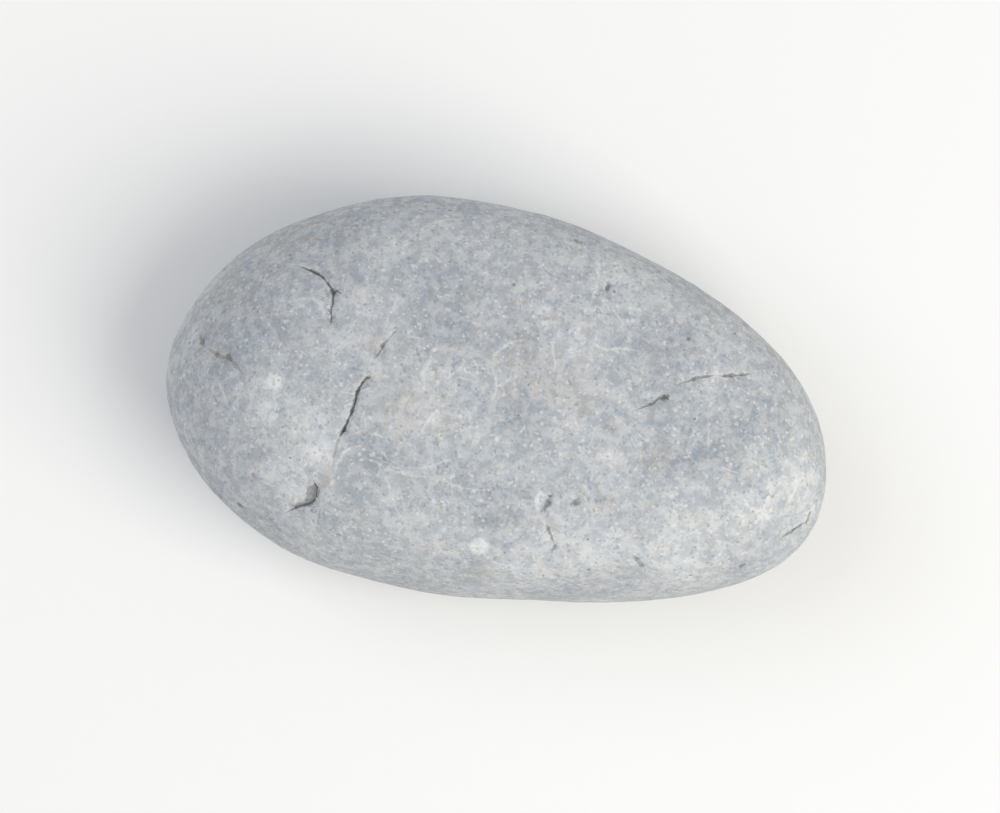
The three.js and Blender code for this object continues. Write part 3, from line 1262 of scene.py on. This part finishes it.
        # three quarters of the cells have a scratch, up to the cell's own width long
        own = add_node(tree, "SeparateColor", {0: cells["Color"]}).outputs[2]
        length = add_node(tree, "MapRange", {0: own, 1: 0.25, 2: 1.0, 3: 0.0, 4: 0.5}).outputs[0]
        left_over = add_node(
            tree, "Math", {0: length, 1: cells["Distance"]}, operation="SUBTRACT"
        ).outputs[0]
        ends = add_node(tree, "MapRange", {0: left_over, 1: 0.0, 2: 0.15}).outputs[0]
        return add_node(tree, "Math", {0: line, 1: ends}, operation="MULTIPLY").outputs[0]

    def _marked_colour(self, tree: Tree, patterns: Patterns, specks: Socket, marks: Patterns) -> Socket:
        """The stone's colour with the marks on it: brown patches, pale wisps and scratches,
        specks, and dirt with painted shade in cracks and pits, which ends unevenly at the grains.

        Args:
            tree: the material's nodes.
            patterns: the patterns.
            specks: where single grains have dropped out.
            marks: the parts of the lines.

        Returns:
            The colour.
        """
        warmth, dirt_and_shade = (
            add_node(tree, "Attribute", attribute_name=name).outputs["Fac"]
            for name in ("warmth", "dirt_and_shade")
        )
        low, high = self.most
        stain = add_node(
            tree, "MapRange", {0: patterns["stain"], 1: low, 2: high, 3: 0.1, 4: 0.75}
        ).outputs[0]
        stain = add_node(tree, "Math", {0: warmth, 1: stain}, operation="MULTIPLY").outputs[0]
        grit = add_node(tree, "Math", {0: patterns["grit"], 1: 0.5}, operation="SUBTRACT").outputs[0]
        dirt_and_shade = add_node(tree, "Math", {0: grit, 1: 1.6, 2: dirt_and_shade}, operation="MULTIPLY_ADD").outputs[0]
        dirt_and_shade = add_node(
            tree, "MapRange", {0: dirt_and_shade, 1: 0.15, 2: 0.8}, interpolation_type="SMOOTHSTEP"
        ).outputs[0]
        long_wisps = self._wisps(tree, patterns["mm"], self.wisp_spacing)
        short_wisps = self._wisps(tree, patterns["mm"], self.wisp_spacing / self.short_wisps)
        colour = self._stone_colour(tree, patterns)
        # each mark, how strongly it covers the stone, and its colour
        for pattern, strength, name in (
            (stain, 0.6, self.rust),
            (long_wisps, 0.4, self.bruise),
            (short_wisps, 0.3, self.bruise),
            (marks["rim"], 0.25, self.bruise),
            (marks["scratch"], 0.62, self.bruise),
            # darker in the holes of lost grains: dirt and painted shade
            (specks, 0.5, self.crevice),
            # darker in pits and grooves: dirt and painted shade
            (dirt_and_shade, 0.52, self.crevice),
            # dark in the open cracks: dirt and painted shade
            (marks["crevice"], 0.7, self.crevice),
        ):
            share = add_node(tree, "Math", {0: pattern, 1: strength}, operation="MULTIPLY")
            colour = add_node(
                tree, "Mix", {0: share.outputs[0], 6: colour, 7: linear(name)}, data_type="RGBA"
            ).outputs[2]
        return colour

    def _height(self, tree: Tree, patterns: Patterns, specks: Socket, marks: Patterns) -> Socket:
        """The fine relief: grains, clusters that are a little taller, specks that are three grains
        deep and the sharp edges of the cracks.

        Args:
            tree: the material's nodes.
            patterns: the patterns.
            specks: where single grains have dropped out.
            marks: the parts of the lines.

        Returns:
            The height in mm.
        """
        height = 0.0
        # each pattern and its height in grains
        for pattern, grains in (
            (patterns["grain"], 1.0),
            (patterns["mottle"], 1.3),
            (specks, -3.0),
            (marks["crevice"], -5.0),
        ):
            height = add_node(
                tree,
                "Math",
                {0: pattern, 1: grains * self.grain_height, 2: height},
                operation="MULTIPLY_ADD",
            ).outputs[0]
        return height


@dataclass(frozen=True)
class PaperSweep:
    """Matte white paper, uncoated: an even pale ground, with next to no shine."""

    colour: str = "#f2f2f1"
    roughness: float = 0.95
    shine: float = 0.1

    def material(self) -> bpy.types.Material:
        """Makes the ground's material.

        Returns:
            The material.
        """
        made = bpy.data.materials.new("paper, uncoated")
        made.use_nodes = True
        shader = made.node_tree.nodes["Principled BSDF"]
        shader.inputs["Base Color"].default_value = linear(self.colour)
        shader.inputs["Roughness"].default_value = self.roughness
        shader.inputs["Specular IOR Level"].default_value = self.shine
        return made


# ---------- Studio ----------


@dataclass(frozen=True)
class SoftBox:
    """A square lamp that faces the stone: its bearing round from +X and its height angle in
    degrees, its distance and width in metres, its power in watts and its colour."""

    name: str
    bearing: float
    height: float
    distance: float
    width: float
    power: float
    colour: str

    def build(self, target: np.ndarray) -> None:
        """Puts the lamp in the scene.

        Args:
            target: the place it is aimed at, in metres.
        """
        data = bpy.data.lights.new(self.name, "AREA")
        data.shape = "SQUARE"
        data.size = self.width
        data.energy = self.power
        data.color = linear(self.colour)[:3]
        lamp = bpy.data.objects.new(self.name, data)
        lamp.location = target + heading(self.bearing, self.height) * self.distance
        lamp.rotation_euler = (math.radians(90 - self.height), 0, math.radians(self.bearing + 90))
        bpy.context.scene.collection.objects.link(lamp)


@dataclass
class Studio:
    """The pale floor, the soft light and the camera, which looks straight down.

    Attributes:
        target: the middle of the stone, in metres.
        floor_height: the height the stone rests at, in metres.
        turn: how far the camera is turned, in degrees, so that the stone slants in its view.
        lens: the camera's focal length in mm.
        view_width: how wide the view is at the stone's middle, in metres.
        floor_size: the floor's width in metres.
        sky: the brightness of the light from all round.
        lamps: the soft lamps, a faintly warm key and a faintly cool fill.
    """

    target: np.ndarray
    floor_height: float
    turn: float = 12
    lens: float = 240
    view_width: float = 0.112
    floor_size: float = 8
    sky: float = 0.48
    lamps: tuple[SoftBox, ...] = (
        SoftBox("key", -17, 45, 0.9, 0.7, 6.0, "#fffcf5"),
        SoftBox("fill", 165, 52, 1.2, 1.0, 4.0, "#eaf1ff"),
    )

    def build(self) -> None:
        """Builds the floor, the light and the camera."""
        self._floor()
        self._sky()
        for lamp in self.lamps:
            lamp.build(self.target)
        self._camera()
        bpy.context.scene.view_settings.view_transform = "Standard"

    def _floor(self) -> None:
        """A flat square under the stone."""
        half, height = self.floor_size / 2, self.floor_height
        corners = [(-half, -half, height), (half, -half, height), (half, half, height)]
        mesh = bpy.data.meshes.new("floor")
        mesh.from_pydata([*corners, (-half, half, height)], [], [(0, 1, 2, 3)])
        mesh.materials.append(PaperSweep().material())
        floor = bpy.data.objects.new("floor", mesh)
        bpy.context.scene.collection.objects.link(floor)

    def _sky(self) -> None:
        """Even white light from all round."""
        world = bpy.data.worlds.new("studio")
        world.use_nodes = True
        background = world.node_tree.nodes["Background"]
        background.inputs["Color"].default_value = linear("#ffffff")
        background.inputs["Strength"].default_value = self.sky
        bpy.context.scene.world = world

    def _camera(self) -> None:
        """The camera above the stone."""
        data = bpy.data.cameras.new("camera")
        data.lens = self.lens
        data.clip_start = 0.01
        camera = bpy.data.objects.new("camera", data)
        distance = self.view_width * self.lens / data.sensor_width
        camera.location = self.target + np.array([0, 0, distance])
        camera.rotation_euler = (0, 0, math.radians(self.turn))
        bpy.context.scene.collection.objects.link(camera)
        bpy.context.scene.camera = camera


def main() -> None:
    logging.basicConfig(level=logging.INFO, format="%(name)s: %(message)s")
    low, high = (np.array(corner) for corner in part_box("pebble"))
    stone = Pebble(low / MM, high / MM).build(Greywacke())
    LOG.info("%s has %d faces", stone.name, len(stone.data.polygons))
    Studio(target=(low + high) / 2, floor_height=float(low[2])).build()
    LOG.info("studio built, camera at %s", tuple(bpy.context.scene.camera.location))


if __name__ == "__main__":
    main()
